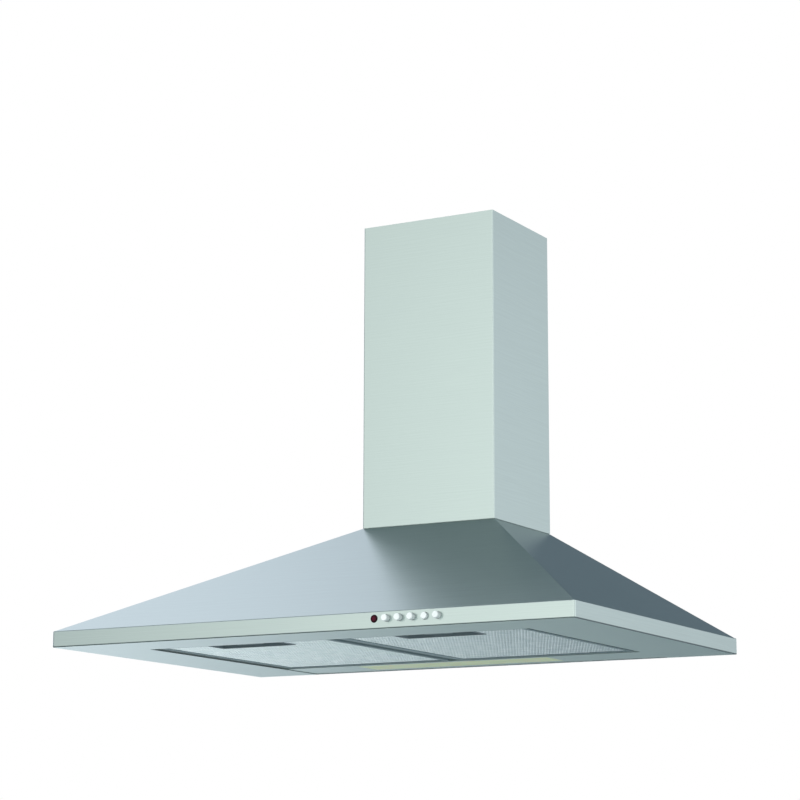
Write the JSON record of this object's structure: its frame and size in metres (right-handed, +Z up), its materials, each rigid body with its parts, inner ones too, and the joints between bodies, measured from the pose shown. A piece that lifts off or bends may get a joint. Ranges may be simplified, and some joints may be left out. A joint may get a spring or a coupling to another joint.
{
  "type": "wall mount range hood",
  "caption": "Pyramid wall range hood in brushed steel with a box chimney cover, swing-down grease filters, push buttons, a lamp panel and a scroll blower inside.",
  "frame": {"origin": "on the wall plane, at the middle of the hood, level with the underside of its rim", "axes": "+X to the viewer's right along the hood's width, +Y into the wall, +Z up"},
  "size_m": [0.7, 0.477, 0.568],
  "materials": {
    "brushed_stainless": "satin",
    "galvanised_steel": "satin",
    "grey_enamel": "matte",
    "filter_aluminium": "satin",
    "filter_layers": "matte",
    "grip_plastic": "matte",
    "latch_plastic": "satin",
    "housing_plastic": "matte",
    "fan_plastic": "satin",
    "pale_plastic": "satin",
    "button_plastic": "gloss",
    "pilot_red": "gloss",
    "lens_plastic": "satin",
    "lamp_glass": "gloss",
    "motor_enamel": "satin",
    "bright_steel": "polished",
    "zinc_screws": "satin",
    "rubber_black": "matte"
  },
  "bodies": {
    "hood": {"canopy_rim": "brushed_stainless", "canopy_shell": "brushed_stainless", "chimney_lower": "brushed_stainless", "rear_light_panel": "brushed_stainless", "back_panel": "galvanised_steel", "blower_deck": "galvanised_steel", "light_box": "galvanised_steel", "motor_mount": "galvanised_steel", "capacitor_clip": "galvanised_steel", "filter_center_rail": "grey_enamel", "scroll_housing_left": "housing_plastic", "scroll_housing_right": "housing_plastic", "switch_housing": "housing_plastic", "outlet_collar": "housing_plastic", "terminal_box": "housing_plastic", "terminal_box_cover": "housing_plastic", "terminal_block": "pale_plastic", "capacitor": "pale_plastic", "lamp_socket_left": "pale_plastic", "lamp_socket_right": "pale_plastic", "pilot_lens": "pilot_red", "lamp_lens": "lens_plastic", "lamp_bulb_left": "lamp_glass", "lamp_bulb_right": "lamp_glass", "motor_body": "motor_enamel", "motor_bearings": "bright_steel", "damper_pin": "bright_steel", "panel_screws": "zinc_screws", "deck_screws": "zinc_screws", "scroll_screws": "zinc_screws", "outlet_screws": "zinc_screws", "motor_screws": "zinc_screws", "light_box_screws": "zinc_screws", "switch_studs": "zinc_screws", "cable_grommet": "rubber_black", "motor_grommets": "rubber_black"},
    "chimney_upper": {"chimney_upper": "brushed_stainless", "chimney_wall_bracket": "galvanised_steel", "bracket_screws": "zinc_screws"},
    "fan": {"impeller": "fan_plastic", "motor_shaft": "bright_steel", "impeller_nut": "bright_steel"},
    "damper_front": {"damper_flap_front": "housing_plastic"},
    "damper_rear": {"damper_flap_rear": "housing_plastic"},
    "button_light": {"button_light": "button_plastic"},
    "button_off": {"button_off": "button_plastic"},
    "button_low": {"button_low": "button_plastic"},
    "button_medium": {"button_medium": "button_plastic"},
    "button_high": {"button_high": "button_plastic"},
    "filter_left": {"filter_frame_left": "grey_enamel", "filter_mesh_left": "filter_aluminium", "filter_pad_left": "filter_layers", "filter_grip_left": "grip_plastic"},
    "latch_left": {"filter_latch_left": "latch_plastic"},
    "filter_right": {"filter_frame_right": "grey_enamel", "filter_mesh_right": "filter_aluminium", "filter_pad_right": "filter_layers", "filter_grip_right": "grip_plastic"},
    "latch_right": {"filter_latch_right": "latch_plastic"}
  },
  "joints": [
    {"name": "chimney_extend", "type": "slide", "parent": "hood", "child": "chimney_upper", "axis": [0, 0, 1], "range_m": [0, 0.3]},
    {"name": "fan_spin", "type": "hinge", "parent": "hood", "child": "fan", "pos_m": [0, -0.095, 0.14], "axis": [1, 0, 0], "continuous": true},
    {"name": "damper_front_swing", "type": "hinge", "parent": "hood", "child": "damper_front", "pos_m": [0, -0.078, 0.2272], "axis": [-1, 0, 0], "range_deg": [0, 80]},
    {"name": "damper_rear_swing", "type": "hinge", "parent": "hood", "child": "damper_rear", "pos_m": [0, -0.078, 0.2272], "axis": [1, 0, 0], "range_deg": [0, 80]},
    {"name": "light_press", "type": "slide", "parent": "hood", "child": "button_light", "axis": [0, 1, 0], "range_m": [0, 0.0032], "stiffness_N_per_m": 300},
    {"name": "off_press", "type": "slide", "parent": "hood", "child": "button_off", "axis": [0, 1, 0], "range_m": [0, 0.0032], "stiffness_N_per_m": 300},
    {"name": "low_press", "type": "slide", "parent": "hood", "child": "button_low", "axis": [0, 1, 0], "range_m": [0, 0.0032], "stiffness_N_per_m": 300},
    {"name": "medium_press", "type": "slide", "parent": "hood", "child": "button_medium", "axis": [0, 1, 0], "range_m": [-0.0032, 0.0006], "stiffness_N_per_m": 300},
    {"name": "high_press", "type": "slide", "parent": "hood", "child": "button_high", "axis": [0, 1, 0], "range_m": [0, 0.0032], "stiffness_N_per_m": 300},
    {"name": "filter_left_swing", "type": "hinge", "parent": "hood", "child": "filter_left", "pos_m": [0, -0.0765, 0.0042], "axis": [1, 0, 0], "range_deg": [0, 45]},
    {"name": "latch_left_slide", "type": "slide", "parent": "filter_left", "child": "latch_left", "axis": [0, 1, 0], "range_m": [-0.0045, 0.003]},
    {"name": "filter_right_swing", "type": "hinge", "parent": "hood", "child": "filter_right", "pos_m": [0, -0.0765, 0.0042], "axis": [1, 0, 0], "range_deg": [0, 45]},
    {"name": "latch_right_slide", "type": "slide", "parent": "filter_right", "child": "latch_right", "axis": [0, 1, 0], "range_m": [-0.0045, 0.003]}
  ]
}
